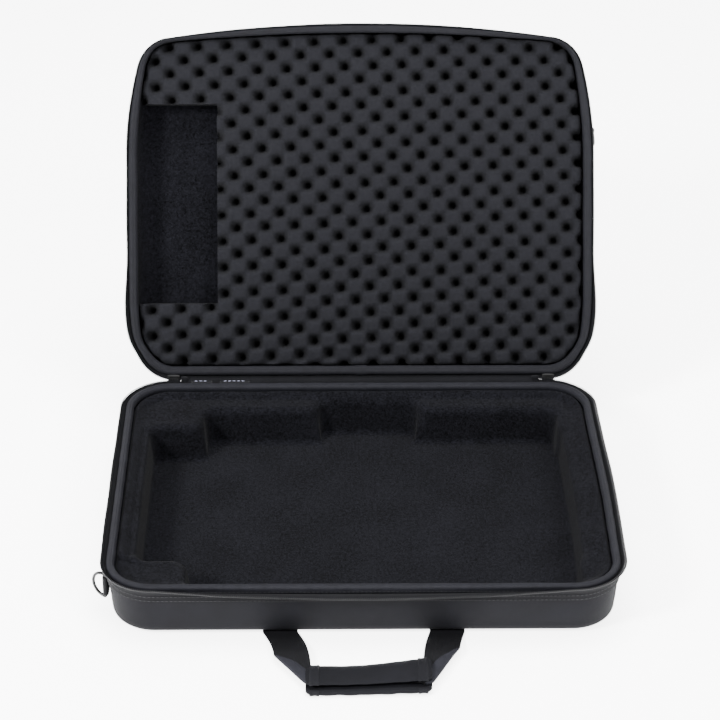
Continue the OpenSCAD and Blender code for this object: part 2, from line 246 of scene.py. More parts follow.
def ribbed(name, dark, light, rib, rough, direction="X"):
    """Grosgrain or webbing: ribs across the tape with a fine yarn grain along it."""
    look = Shader(name)
    other_way = "Y" if direction == "X" else "X"
    both = look.mix((look.bands(rib, direction, 0.5), 0.7), (look.bands(rib * 1.6, other_way, 0.6), 0.3))
    tone = look.mix((both, 0.45), (look.noise(9, 3), 0.6))
    look.shade(tone, grey(dark), grey(light), 0.25, 0.85)
    look.bump(both, 0.22)
    return look.finish(rough, 0.01, specular=0.08)


def fleece():
    """Short brushed pile: speckled fibres over soft patches where the nap lies differently."""
    look = Shader("lining_fleece", "Object")
    fibres = look.noise(2.0, 4, 0.75)
    clumps = look.noise(4.2, 3, 0.6)
    tone = look.mix((fibres, 0.62), (clumps, 0.26), (look.noise(60, 2), 0.12))
    look.shade(tone, grey(0.0005), grey(0.0046), 0.4, 0.6)
    look.bump(fibres, 0.4, under=look.bump(clumps, 0.45))
    return look.finish(1.0, 0.012, 0.5, specular=0.03)


def open_foam():
    """Open-cell foam: small dark pores, lighter towards the peaks, with painted shade darkening the hollows."""
    look = Shader("open_cell_foam", "Object")
    pores = look.cells(0.9)
    grain = look.noise(2.2, 3, 0.65)
    # The peak attribute paints shade into the hollows and on the cut sides, and lightens the peaks.
    tone = look.mix((grain, 0.5), (pores, 0.3), (look.attribute("peak"), 0.35))
    look.shade(tone, grey(0.0008, 1.2), grey(0.0086, 1.2), 0.34, 0.88)
    look.bump(pores, 0.5, under=look.bump(grain, 0.7))
    return look.finish(1.0, 0.01, 0.6, specular=0.03)


def coated_metal(name, dark, light, rough, metal):
    """Plated or painted metal with rubbed streaks and small pits."""
    look = Shader(name, "Object")
    streaks = look.noise(0.25, 4, 0.6, look.stretch(1, 1, 0.15))
    patches = look.noise(9, 3)
    tone = look.mix((streaks, 0.5), (patches, 0.5))
    look.shade(tone, grey(dark, 1.0), grey(light, 1.0), 0.35, 0.7)
    worn = look.math("MULTIPLY_ADD", patches, 0.25, rough - 0.1)
    look.bump(streaks, 0.05)
    look.feed(worn, look.surface.inputs["Roughness"])
    return look.finish(rough, metal=metal)


def coil_plastic():
    look = Shader("coil_nylon", "Object")
    look.shade(look.noise(3, 2), grey(0.0015), grey(0.003))
    look.bump(look.noise(0.5, 2), 0.05)
    return look.finish(0.4, specular=0.25)


def label_satin():
    """Satin label: tight warp floats in fine lines."""
    look = Shader("label_satin")
    lines = look.bands(0.45, "Y", 0.5)
    look.shade(look.mix((lines, 0.4), (look.noise(4, 2), 0.6)), grey(0.0018), grey(0.0042))
    look.bump(lines, 0.06)
    return look.finish(0.6, 0.01, specular=0.1)


def thread(name, dark, light):
    look = Shader(name, "Object")
    look.shade(look.noise(0.8, 2), grey(dark), grey(light))
    look.bump(look.noise(0.3, 2), 0.05)
    return look.finish(0.6, 0.1)


def floor_paper():
    look = Shader("floor_paper", "Object")
    look.shade(look.noise(180, 3), (0.95, 0.95, 0.953), (0.98, 0.98, 0.982))
    look.bump(look.noise(1.2, 2), 0.02)
    look.surface.inputs["Emission Color"].default_value = (1, 1, 1, 1)
    look.surface.inputs["Emission Strength"].default_value = 4.2
    return look.finish(0.85, specular=0.2)


SHELL = woven("shell_nylon", 0.0017, 0.0041, yarn=0.35, rough=0.72, depth=0.1)
FLEECE = fleece()
BINDING = ribbed("binding_grosgrain", 0.0038, 0.0088, rib=0.7, rough=0.62)
# The lid's binding is the base's grosgrain made darker: painted shade for the lid's more brightly lit sides.
SHADED_LID_BINDING = ribbed("lid_binding_grosgrain_painted_shade", 0.0028, 0.0066, rib=0.7, rough=0.62)
TAPE = ribbed("zip_tape_twill", 0.0015, 0.0035, rib=0.5, rough=0.75, direction="Y")
PANEL = woven("hinge_nylon", 0.001, 0.0025, yarn=0.3, rough=0.75)
WEBBING = ribbed("webbing_weave", 0.0006, 0.0029, rib=1.5, rough=0.6)
# A paler copy of the webbing: painted sheen for the folded-over layer of the handle legs.
WEBBING_PAINTED_SHEEN = ribbed("webbing_painted_sheen", 0.0048, 0.012, rib=1.5, rough=0.7)
PALE_THREAD = thread("label_thread", 0.12, 0.2)
GRIP = woven("grip_nylon", 0.0018, 0.0042, yarn=0.3, rough=0.7, depth=0.08, coords="Object")
GRIP_EDGE = ribbed("grip_edge_tape", 0.0024, 0.0052, rib=0.7, rough=0.65)
FOAM = open_foam()
COIL = coil_plastic()
STEEL = coated_metal("dark_nickel", 0.012, 0.04, rough=0.34, metal=1.0)
CASTING = coated_metal("black_casting", 0.004, 0.01, rough=0.42, metal=0.0)
LABEL = label_satin()
THREAD = thread("sewing_thread", 0.003, 0.007)


def add_floor(size):
    mesh = bpy.data.meshes.new("floor")
    corners = [(-size, -size, 0), (size, -size, 0), (size, size, 0), (-size, size, 0)]
    mesh.from_pydata(corners, [], [(0, 1, 2, 3)])
    floor = bpy.data.objects.new("floor", mesh)
    scene.collection.objects.link(floor)
    mesh.materials.append(floor_paper())


add_floor(14)

# ---------- numbers along lines and planes ----------


def share(value, low, high, most=1.0):
    """How far value is from low to high, held between 0 and most."""
    return np.clip((np.asarray(value, float) - low) / (high - low), 0, most)


def ramp(value, low, high):
    """0 below low, 1 above high, and a smooth rise between them."""
    t = share(value, low, high)
    return t * t * (3 - 2 * t)


def ripple(x, y, size, seed):
    """Smooth noise from -1 to 1, with features about size millimetres across."""
    draw = np.random.default_rng(seed)
    total = np.zeros(np.broadcast(x, y).shape)
    count = 6
    for _ in range(count):
        angle = draw.uniform(0, math.pi)
        pace = 2 * math.pi / (size * draw.uniform(0.7, 1.6))
        total += np.sin(pace * (x * math.cos(angle) + y * math.sin(angle)) + draw.uniform(0, 6.3))
    return total / count * 1.6


def unit(vectors):
    vectors = np.asarray(vectors, float)
    return vectors / np.maximum(np.linalg.norm(vectors, axis=-1), 1e-9)[..., None]


def beside(way):
    """Directions in a plane, a quarter turn clockwise."""
    return np.stack([way[..., 1], -way[..., 0]], -1)


def run_of(points):
    """The distance of each point along a line, from its first."""
    return np.concatenate([[0], np.cumsum(np.linalg.norm(np.diff(points, axis=0), axis=1))])


def sample(where, run, table):
    """Rows of a table, read off at some distances along its run."""
    return np.stack([np.interp(where, run, column) for column in np.transpose(table)], 1)


def arc(centre, radius, start, end, count):
    angles = np.radians(np.linspace(start, end, count))
    return [(centre[0] + radius * math.cos(a), centre[1] + radius * math.sin(a)) for a in angles]


def smooth_line(points, count):
    """Count points along a soft curve through a few given ones, by rounding a polyline's corners."""
    line = np.array(points, float)
    for _ in range(3):
        cut = np.concatenate([0.75 * line[:-1] + 0.25 * line[1:], 0.25 * line[:-1] + 0.75 * line[1:]], 1)
        line = np.concatenate([line[:1], cut.reshape(-1, line.shape[1]), line[-1:]])
    run = run_of(line)
    return sample(np.linspace(0, run[-1], count), run, line)


def both_sides(line, lift):
    """A closed outline round an open line, out by lift on one side and back on the other."""
    return np.concatenate([line + lift, (line - lift)[..., ::-1, :]], -2)


def thicken(line, half):
    """A closed outline half a thickness to each side of an open line in a plane."""
    return both_sides(line, beside(unit(np.gradient(line, axis=-2))) * half)


def at_x(x, section):
    """A (Y, Z) section as points at one X."""
    return np.column_stack([np.full(len(section), x), section])


def tube(centre, first, second, radius, sides):
    """Round sections along a line, spanned by two directions across it."""
    turns = 2 * math.pi * np.arange(sides)[:, None] / sides
    across = first[:, None] * np.cos(turns) + second[:, None] * np.sin(turns)
    return centre[:, None] + radius * across


# ---------- placing and meshing ----------


def swing(points, pivot, angle):
    """Turns points round an axis along X through pivot (Y, Z), by angle degrees."""
    c, s = math.cos(math.radians(angle)), math.sin(math.radians(angle))
    moved = np.array(points, float)
    y = moved[..., 1] - pivot[0]
    z = moved[..., 2] - pivot[1]
    moved[..., 1] = pivot[0] + y * c - z * s
    moved[..., 2] = pivot[1] + y * s + z * c
    return moved


def as_is(points):
    return np.array(points, float)


def on_base(points):
    """The base as it lies: its rear right corner is a little drawn in."""
    moved = np.array(points, float)
    x, y = moved[..., 0], moved[..., 1]
    moved[..., 0] = x - 6 * ramp(x, 150, HALF_W) * ramp(y, -60, 175)
    return moved


def lid_draw(points):
    """The soft lid's outline: corners drawn in and edges bowed between them."""
    moved = np.array(points, float)
    x, y = moved[..., 0], moved[..., 1]
    inward = 12.5 * share(-y, 45, 155, 1.4) ** 2 + 5.5 * share(y, 110, 170, 1.2) ** 2
    moved[..., 0] = x - np.sign(x) * inward * share(np.abs(x), 200, 270, 1.1) ** 1.4
    # x is a view of moved, so the bow goes by the place that was drawn in.
    bow = 4 + 11 * share(np.abs(x), 0, 197, 1.12) ** 2
    moved[..., 1] = y + bow * share(-y, 150, 205, 1.1) ** 2
    return moved


def open_lid(points):
    """Turns a shape made like the base over, and opens it as far as the lid."""
    moved = np.array(points, float)
    moved[..., 2] = 2 * ZIP_Z - moved[..., 2]
    return swing(moved, (HINGE_Y, ZIP_Z), -OPEN_ANGLE)


def on_lid(points):
    return open_lid(lid_draw(points))


def add_mesh(name, points, faces, material, uv=None, place=on_base, sharp=40):
    """Links a mesh of points in millimetres, with outward faces and corners kept sharp past an angle."""
    mesh = bpy.data.meshes.new(name)
    spots = place(points) * MM
    mesh.from_pydata(spots.tolist(), [], [list(face) for face in faces])
    if uv is not None:
        layer = mesh.uv_layers.new(name="UVMap")
        layer.data.foreach_set("uv", (np.asarray(uv, float) * MM).ravel())
    work = bmesh.new()
    work.from_mesh(mesh)
    bmesh.ops.recalc_face_normals(work, faces=work.faces)
    work.to_mesh(mesh)
    work.free()
    mesh.shade_smooth()
    mesh.set_sharp_from_angle(angle=math.radians(sharp))
    mesh.materials.append(material)
    piece = bpy.data.objects.new(name, mesh)
    scene.collection.objects.link(piece)
    return piece


def loft(name, rows, material, ring=False, place=on_base, sharp=40):
    """Skins rows of closed sections, each of the same number of points. ring joins the last row to the
    first; otherwise both ends are capped."""
    rows = np.asarray(rows, float)
    n, m = rows.shape[:2]
    steps = n if ring else n - 1
    i, j = np.meshgrid(np.arange(steps), np.arange(m), indexing="ij")
    i2, j2 = (i + 1) % n, (j + 1) % m
    faces = np.stack([i * m + j, i2 * m + j, i2 * m + j2, i * m + j2], -1).reshape(-1, 4).tolist()
    gap_u = np.linalg.norm(np.roll(rows, -1, 0) - rows, axis=2).mean(1)
    gap_v = np.linalg.norm(np.roll(rows, -1, 1) - rows, axis=2).mean(0)
    u = np.concatenate([[0], np.cumsum(gap_u)])
    v = np.concatenate([[0], np.cumsum(gap_v)])
    corners = ((i, j), (i + 1, j), (i + 1, j + 1), (i, j + 1))
    uv = np.stack([np.stack([u[a], v[b]], -1) for a, b in corners], 2).reshape(-1, 2)
    if not ring:
        faces += [list(range(m)), list(range((n - 1) * m, n * m))]
        uv = np.concatenate([uv, rows[0, :, :2], rows[-1, :, :2]])
    return add_mesh(name, rows.reshape(-1, 3), faces, material, uv, place, sharp)


def ride(piece, body, slot, *nodes):
    """Puts a piece on a CAD body in place of the CAD nodes that it redraws; the material slot is not used."""
    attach(piece, body)
    label_piece(nodes)


def bend(piece, bodies, ends, slot, *nodes):
    """Bakes a piece's placement into its mesh, in place of the CAD nodes that it redraws; the two CAD bodies,
    the two points and the slot are not used.
    """
    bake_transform(piece)
    label_piece(nodes)


def label_piece(nodes):
    if nodes:
        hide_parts(*nodes)


# ---------- the rim, and sections carried round it ----------


def rim_path(step=6.0, corner_step=4.0, stop_x=0):
    """Points, outward normals and the distance round the shell's outside, from the middle of the back
    to the left. With stop_x it starts and ends at that distance to each side of the middle."""
    back = CORNER_X - stop_x
    turns = round(CORNER_R * math.pi / 2 / corner_step)
    at, way = np.array([-stop_x, HALF_D]), np.array([-1.0, 0])
    points, normals = [], []
    for k, length in enumerate((back, 2 * CORNER_Y, 2 * CORNER_X, 2 * CORNER_Y, back)):
        count = max(2, round(length / step))
        for t in np.arange(count) / count * length:
            points.append(at + way * t)
            normals.append(beside(way))
        at = at + way * length
        if k < 4:
            centre = at - CORNER_R * beside(way)
            for angle in math.pi / 2 * (1 + k + np.arange(turns) / turns):
                normals.append(np.array([math.cos(angle), math.sin(angle)]))
                points.append(centre + CORNER_R * normals[-1])
            way = -beside(way)
            at = centre + CORNER_R * beside(way)
    if stop_x:
        points.append(at)
        normals.append(beside(way))
    return np.array(points), np.array(normals), run_of(points)


def carry(path, offsets, heights):
    """Places (offset, height) sections at each point of a path; each is one list or one per point."""
    points, normals, _ = path
    n = len(points)
    offsets = np.broadcast_to(offsets, (n, np.shape(offsets)[-1]))
    heights = np.broadcast_to(heights, (n, np.shape(heights)[-1]))
    flat = points[:, None] + normals[:, None] * offsets[..., None]
    return np.concatenate([flat, heights[..., None]], -1)


def hoop(path, offset, height):
    """One line of points round a path, at an offset and a height."""
    return carry(path, np.reshape(offset, (-1, 1)), [height])[:, 0]


# ---------- shells ----------


def shell_profile(height):
    """Outer and inner skin of a moulded half, as (offset from the outside, height above the rest face)."""
    draft, turn = 3.2, 10
    outside = [(-44, 0), (-40, 0), (-38.6, 0.3), (-37.6, 1.2), (-36.4, 2.1), (-34.5, FOOT), (-29, FOOT)]
    outside += arc((-turn - draft, turn + FOOT), turn, -90, -6, 12)
    for t in (0.12, 0.25, 0.4, 0.6, 0.8, 0.95):
        outside.append((-draft * (1 - t) ** 2, turn + FOOT + t * (height - turn - FOOT)))
    lip = [(-0.6, height), (-SHELL_T + 0.6, height), (-SHELL_T, height - 0.6)]
    inner_r = FILLET - SHELL_T
    inside = [(-SHELL_T, FILLET + FOOT + 2)]
    inside += arc((-FILLET, inner_r + FOOT + SHELL_T), inner_r, 0, -90, 10)
    inside += [(-40, FOOT + SHELL_T), (-44, FOOT + SHELL_T)]
    return [(offset, RIM - height + z) for offset, z in outside + lip + inside]


def add_shell(name, height, body, node, place, seed):
    path = rim_path()
    x, y = path[0].T
    rows = []
    for offset, z in shell_profile(height):
        swell = 0.35 * ripple(x, y + z * 2, 120, seed) * (offset > -2)
        rows.append(hoop(path, offset + swell, z))
    ride(loft(name, rows, SHELL, place=place), body, "shell", node)


# ---------- stitches and bindings ----------


def stitch_mesh(starts, ends, normals, radius, lift):
    """Little arched stitches, each a tapered tube between two points with its middle off the cloth."""
    sides, rings = 5, 5
    side = np.cross(unit(ends - starts), normals)
    t = np.arange(rings) / (rings - 1)
    hump = np.sin(math.pi * t)[:, None]
    middle = starts[:, None] + (ends - starts)[:, None] * t[:, None] + normals[:, None] * lift * hump
    size = radius * (0.45 + 0.55 * hump)
    turns = 2 * math.pi * np.arange(sides)[:, None] / sides
    across = side[:, None, None] * np.cos(turns) + normals[:, None, None] * np.sin(turns)
    points = middle[:, :, None] + size[:, None] * across
    ring, spoke = np.divmod(np.arange((rings - 1) * sides), sides)
    a, b = ring * sides + spoke, ring * sides + (spoke + 1) % sides
    walls = np.stack([a, b, b + sides, a + sides], 1)
    caps = np.array([np.arange(sides), np.arange(sides) + (rings - 1) * sides])
    faces = []
    for base in np.arange(len(starts)) * sides * rings:
        faces += (walls + base).tolist() + (caps + base).tolist()
    return points.reshape(-1, 3), faces


def add_thread(name, seams, normals, body, slot, place=on_base, material=THREAD, radius=0.28, lift=0.25):
    """Stitches for some seams, each given as the starts and the ends of its stitches."""
    starts, ends = (np.concatenate(part) for part in zip(*seams))
    normals = np.broadcast_to(np.asarray(normals, float), starts.shape)
    points, faces = stitch_mesh(starts, ends, normals, radius, lift)
    ride(add_mesh(name, points, faces, material, place=place), body, slot)


def seam(start, end, pitch, length, first=0.0, spare=0.0):
    """Starts and ends of stitches on a straight line, one every pitch from first to spare before its end."""
    start, way = np.array(start, float), np.subtract(end, start)
    total = np.linalg.norm(way)
    t = np.arange(first, total - spare, pitch)[:, None] / total
    return start + way * t, start + way * (t + length / total)


def add_rim_stitches(name, path, offset, height, body, place):
    """A row of stitches along a path, at an offset and a height."""
    _, normals, run = path
    where = np.arange(2, run[-1] - 2, 4.6)
    line = hoop(path, offset, height)
    out = sample(where, run, np.column_stack([normals, 0 * run]))
    seams = [(sample(where, run, line), sample(where + 3.1, run, line))]
    add_thread(name, seams, out, body, "binding", place)


def binding_section(roll):
    """Tape folded over the shell's edge: (offset, height) round its section. roll thickens its inner fold."""
    outer = [(0.15, -8), (0.9, -8.1), (1.35, -7), (1.25, -4.6), (1.65, -2.6)]
    crown = [(1.5, -1.1), (0.7, -0.05), (-0.6, 0.6), (-2.2, 0.82), (-3.3, 0.5)]
    inner = [(-3.9, 0.2), (-4.7, 0.3), (-5.9, -0.2), (-7.0, -1.4), (-7.7, -3.1), (-7.6, -4.9)]
    hem = [(-6.9, -6.6), (-5.9, -7.8), (-4.65, -8)]
    shell = [(-4.6, -0.1), (0.12, -0.1)]
    section = np.array(outer + crown + inner + hem + shell) + (0, RIM)
    section[:, 0] -= roll * share(-section[:, 0], 1, 7) * (section[:, 1] > RIM - 7)
    return section


def add_binding(prefix, cloth, place, seed, roll):
    path = rim_path(5, 3)
    run = path[2]
    section = binding_section(roll)
    wave = ripple(run, 0 * run, 45, seed)[:, None]
    outside = (section[:, 0] > 0.5) | (section[:, 0] < -5)
    offsets = section[:, 0] + 0.22 * wave * outside * np.sign(section[:, 0])
    heights = section[:, 1] + 0.12 * ripple(run, 0 * run, 60, seed + 1)[:, None]
    rows = carry(path, offsets, np.minimum(heights, RIM + 0.85))
    tape = loft(f"{prefix}_binding_tape", rows, cloth, ring=True, place=place)
    ride(tape, prefix, "binding", f"{prefix}_binding")
    # The tape's two ends lap at the middle of the back.
    lap, thick, count = 7, 0.55, 9
    spots = np.linspace(-lap, lap, count)
    lap_path = (np.stack([spots, np.full(count, HALF_D)], 1), np.tile([0.0, 1.0], (count, 1)), spots)
    grow = 1 - 0.6 * (np.abs(spots) > lap - 1)[:, None]
    push = unit(section - section.mean(0)) * thick
    offsets = section[:, 0] + push[:, 0] * grow
    heights = np.minimum(section[:, 1] + push[:, 1] * grow * 0.3, RIM + 0.9)
    end = loft(f"{prefix}_binding_lap", carry(lap_path, offsets, heights), cloth, place=place)
    ride(end, prefix, "binding")
    add_rim_stitches(f"{prefix}_binding_stitches", path, 1.32, RIM - 6.1, prefix, place)


# ---------- zip ----------


def brim(path, droop_front, droop_side, tuck):
    """Where the zip's coil edge lies round the rim: (offset, height). It hangs out between the corners,
    and tuck draws it in against the rim everywhere but at the rear corners."""
    points, _, run = path
    x, y = points.T
    out, hang_out, hang_down = 6.9, 5.2, 7.4
    front = np.clip(1 - (x / CORNER_X) ** 2, 0, 1) * ramp(-y, HALF_D - 20, HALF_D - 1) * droop_front
    side = np.clip(1 - (y / CORNER_Y) ** 2, 0, 1) * ramp(np.abs(x), HALF_W - 20, HALF_W - 1) * droop_side
    fall = np.clip(front + side, 0, 1)
    wave = 0.35 * ripple(run, 0 * run, 90, 5) * ramp(-y, -130, -60)
    offset = out + hang_out * fall + wave - tuck * ramp(-y, -150, -60)
    return np.stack([offset, ZIP_Z - 1.6 - hang_down * fall + wave * 0.6], 1)


def tape_line(edge):
    """The tape's middle line from its sewn root to its coil edge, one row per path point."""
    root, low, top = 0.62, RIM - 19, RIM - 11
    start = np.array([root, top])
    fixed = np.array([(root, low), (root, low + 4), start])
    rise = start + (0.1, 5.0)
    t = np.linspace(0, 1, 8)[1:, None]
    free = (1 - t) ** 2 * start + 2 * t * (1 - t) * rise + t ** 2 * edge[:, None]
    return np.concatenate([np.broadcast_to(fixed, (len(edge), 3, 2)), free], 1)


def add_zip_side(prefix, place, droops):
    path = rim_path(5, 3, stop_x=ZIP_END)
    line = tape_line(brim(path, *droops))
    section = thicken(line, 0.4)
    rows = carry(path, section[..., 0], section[..., 1])
    tape = loft(f"{prefix}_zip_tape_cloth", rows, TAPE, place=place)
    ride(tape, prefix, "tape", f"{prefix}_zip_tape")
    add_coil(prefix, path, line, place)
    for k, drop in enumerate((17.5, 12.5)):
        add_rim_stitches(f"{prefix}_tape_stitches_{k + 1}", path, 1.0, RIM - drop, prefix, place)


def add_coil(prefix, path, line, place):
    """One half of a coil zip: a flattened helix of monofilament on the tape's edge."""
    points, normals, run = path
    pitch, per_turn, sides, wire_r = 2.0, 8, 4, 0.5
    reach, half = 1.5, 0.85
    count = int(run[-1] / pitch) * per_turn
    where = np.linspace(0.8, run[-1] - 0.8, count)
    turn = 2 * math.pi * np.arange(count)[:, None] / per_turn
    base = sample(where, run, points)
    out = unit(sample(where, run, normals))
    edge = sample(where, run, line[:, -1])
    way = sample(where, run, unit(line[:, -1] - line[:, -2]))
    face = beside(way)
    section = edge - way * 0.3 + way * (reach * np.cos(turn)) + face * (half * np.sin(turn))
    centre = np.concatenate([base + out * section[:, :1], section[:, 1:]], 1)
    tangent = unit(np.gradient(centre, axis=0))
    outward = np.concatenate([out * face[:, :1], face[:, 1:]], 1)
    first = unit(np.cross(tangent, outward))
    rows = tube(centre, first, np.cross(tangent, first), wire_r, sides)
    coil = loft(f"{prefix}_zip_coil_teeth", rows, COIL, place=place, sharp=80)
    ride(coil, prefix, "coil", f"{prefix}_zip_coil")


# ---------- fleece insert and lid lining ----------

BAY = [
    (-242, -136, 230, 125),
    (-187, -186, 230, 125),
    (-181, -136, 230, 161),
    (-50, -136, 66, 182),
]


def box_distance(x, y, box, radius):
    """Signed distance to a rectangle (x0, y0, x1, y1) with rounded corners, negative inside it."""
    x0, y0, x1, y1 = box
    qx = np.abs(x - (x0 + x1) / 2) - (x1 - x0) / 2 + radius
    qy = np.abs(y - (y0 + y1) / 2) - (y1 - y0) / 2 + radius
    return np.hypot(np.maximum(qx, 0), np.maximum(qy, 0)) + np.minimum(np.maximum(qx, qy), 0) - radius


def bay_distance(x, y):
    """Signed distance to the bay's outline: its boxes, melted together over a few millimetres."""
    corner, melt = 14, 9
    distance = box_distance(x, y, BAY[0], corner)
    for box in BAY[1:]:
        other = box_distance(x, y, box, corner)
        part = share(other - distance, -melt, melt)
        distance = other * (1 - part) + distance * part - melt * part * (1 - part)
    return distance


def grid_lines(half, near, fine, coarse, reach):
    """Grid coordinates from -half to half, fine within reach of the places in near."""
    values = [-half]
    while values[-1] < half:
        gap = min(abs(values[-1] - spot) for spot in near)
        values.append(values[-1] + (fine if gap < reach else min(coarse, fine + (gap - reach) * 0.5 + 0.2)))
    values = np.array(values)
    return (values + half) * 2 * half / (values[-1] + half) - half


def fit_outline(x, y, half_w, half_d, radius, keep):
    """Pulls a grid's outer columns in at the corners, so that its edge follows a rounded rectangle."""
    over = np.clip(np.abs(y) - (half_d - radius), 0, radius)
    width = half_w - radius + np.sqrt(np.maximum(radius ** 2 - over ** 2, 0))
    squeeze = keep + (np.abs(x) - keep) * (width - keep) / (half_w - keep)
    return np.where(np.abs(x) > keep, np.sign(x) * squeeze, x)


def grid_cells(shape):
    """The grid's point numbers, and the four corners of each cell."""
    grid = np.arange(shape[0] * shape[1]).reshape(shape)
    return grid, np.stack([grid[:-1, :-1], grid[1:, :-1], grid[1:, 1:], grid[:-1, 1:]], -1)


def close_below(points, faces, loop, low, levels=(0.0,)):
    """Drops a wall from a loop of points to a height, ring by ring, and caps it there."""
    top = points[loop]
    above = np.array(loop)
    for level in levels:
        row = top.copy()
        row[:, 2] = low + (top[:, 2] - low) * level
        below = len(points) + np.arange(len(row))
        faces += np.stack([above, np.roll(above, -1), np.roll(below, -1), below], 1).tolist()
        points = np.concatenate([points, row])
        above = below
    faces.append(above.tolist())
    return points


def add_insert():
    """The base's fleece: a raised rim with a stepped bay, its walls drafted and its top edge rolled."""
    half_w, half_d = HALF_W - SHELL_T - 0.15, HALF_D - SHELL_T - 0.15
    radius = CORNER_R - SHELL_T
    top, floor, base = 55, 12, 7.2
    groove_x = -248.5
    walls_x = [box[k] for k in (0, 2) for box in BAY] + [groove_x - 2.5, groove_x + 2.5, -half_w, half_w]
    walls_y = [box[k] for k in (1, 3) for box in BAY] + [-half_d, half_d]
    xs, ys = (grid_lines(half, walls, 0.8, 5, 9) for half, walls in ((half_w, walls_x), (half_d, walls_y)))
    x, y = np.meshgrid(xs, ys, indexing="ij")
    x = fit_outline(x, y, half_w, half_d, radius, CORNER_X - 12)
    distance = bay_distance(x, y)
    step = 0.5
    slope_x = (bay_distance(x + step, y) - bay_distance(x - step, y)) / (2 * step)
    slope_y = (bay_distance(x, y + step) - bay_distance(x, y - step)) / (2 * step)
    # The wall's section, from the floor up: toe, drafted wall, rolled top edge.
    spread = 9
    toe = arc((-8.2, floor + 6), 6, -90, -12, 8)
    roll = arc((8.8, top - 8.5), 8.5, 172, 90, 12)
    wall = np.array([(-spread, floor)] + toe + roll + [(spread, top)])
    run = run_of(wall)
    climb = share(distance, -spread, spread) * run[-1]
    reach, z = (np.interp(climb, run, column) for column in wall.T)
    shift = np.where(np.abs(distance) < spread, reach - distance, 0)
    x = x + slope_x * shift
    y = y + slope_y * shift
    on_top = ramp(distance, 4, spread)
    groove = np.exp(-(((x - groove_x) / 2.2) ** 2)) * ramp(y, -140, -128) * ramp(-y, -130, -118)
    z = z - 2.2 * groove * on_top
    z = z + on_top * 0.5 * ripple(x, y, 70, 3) + (1 - on_top) * 0.25 * ripple(x, y, 90, 4)
    # The rim: a small lip against the shell, then a welt that falls away to the flat.
    to_shell = -box_distance(x, y, (-half_w, -half_d, half_w, half_d), radius)
    z = z + 1.6 * (1 - ramp(to_shell, 0.2, 2.2))
    z = z + 5.0 * ramp(to_shell, 2.6, 5.4) * (1 - ramp(to_shell, 5.4, 17))
    # The front left block stands a little lower.
    block = ramp(-x, 183, 196) * ramp(-y, 132, 146)
    z = z - 3.0 * block * ramp(distance, 0, spread) * (1 - ramp(-y, 176, 196))
    points = np.stack([x, y, z], -1).reshape(-1, 3)
    grid, cells = grid_cells(x.shape)
    loop = np.concatenate([grid[0, :-1], grid[:-1, -1], grid[-1, :0:-1], grid[:0:-1, 0]])
    faces = cells.reshape(-1, 4).tolist()
    points = close_below(points, faces, loop, base)
    insert = add_mesh("base_insert_fleece", points, faces, FLEECE, sharp=75)
    ride(insert, "base", "insert", "base_insert")


def add_lid_lining():
    """Fleece glued inside the lid: it climbs the walls to the binding and ripples on the flat."""
    path = rim_path()
    gap, skin = SHELL_T + 0.15, 1.9
    low, top = LID_FLOOR + 0.1, RIM - 7.6
    fillet = FILLET - gap
    outer = [(-44, low), (-34, low)] + arc((-FILLET, low + fillet), fillet, -90, 0, 9) + [(-gap, top)]
    inner_r = fillet - skin
    inner = [(-gap - skin, top), (-gap - skin, low + fillet + 1)]
    inner += arc((-FILLET, low + skin + inner_r), inner_r, 0, -90, 10)
    rows = [hoop(path, offset, z) for offset, z in outer + inner]
    rows += [rows[-1] * (scale, scale, 1) for scale in np.linspace(0.97, 0.03, 34)]
    rows = np.array(rows)
    x, y, z = rows[len(outer) + 3:].T
    z += (0.5 + 0.8 * ripple(x * 1.6, y * 0.6, 42, 9)) * (1 - ramp(z, low + skin, low + skin + 9))
    lining = loft("lid_lining_fleece", rows, FLEECE, place=on_lid, sharp=60)
    ride(lining, "lid", "fleece", "lid_lining")


# ---------- convoluted foam ----------

FOAM_INSET = 10.5
FOAM_LOW = LID_FLOOR + 2.6
FOAM_T = 34
FOAM_CUT = (-168, -111, 123)


def foam_phase(x, y):
    """Column and row of a place in the foam's lattice."""
    pitch, lean, row, slant = 33.9, 0.69, 15.25, -1.34
    x0, y0 = -9.9, -2.4
    area = pitch * row - lean * slant
    dx = dy = 0
    # The sheet is stretched unevenly, so a cell's shift depends on its own column and row.
    for _ in range(4):
        a = ((x - x0 - dx) * row - (y - y0 - dy) * lean) / area
        b = ((y - y0 - dy) * pitch - (x - x0 - dx) * slant) / area
        dx = -0.0525 * a * a + 0.007 * a * b - 0.0077 * b * b
        dy = 0.03 * a * a - 0.0145 * a * b
    return a, b


def foam_height(x, y):
    """Height above the foam's back, and how near to a peak each place is."""
    a, b = foam_phase(x, y)
    hollow = 0.5 + 0.5 * np.cos(2 * math.pi * a) * np.cos(math.pi * b)
    depth = 25 + 1.5 * ripple(x, y, 60, 11)
    dip = hollow ** 3.6
    return FOAM_T - 0.4 - depth * dip + 0.5 * ripple(x, y, 24, 12), 1 - dip


def outline_loop(cells):
    """The point numbers round a patch of cells, in order: every cell side that only one cell uses."""
    pairs = np.concatenate([cells[:, (k, (k + 1) % 4)] for k in range(4)])
    _, first, uses = np.unique(np.sort(pairs, axis=1), axis=0, return_index=True, return_counts=True)
    border = pairs[first[uses == 1]].tolist()
    after = dict(border)
    loop = [border[0][0]]
    while len(loop) < len(border):
        loop.append(after[loop[-1]])
    return loop


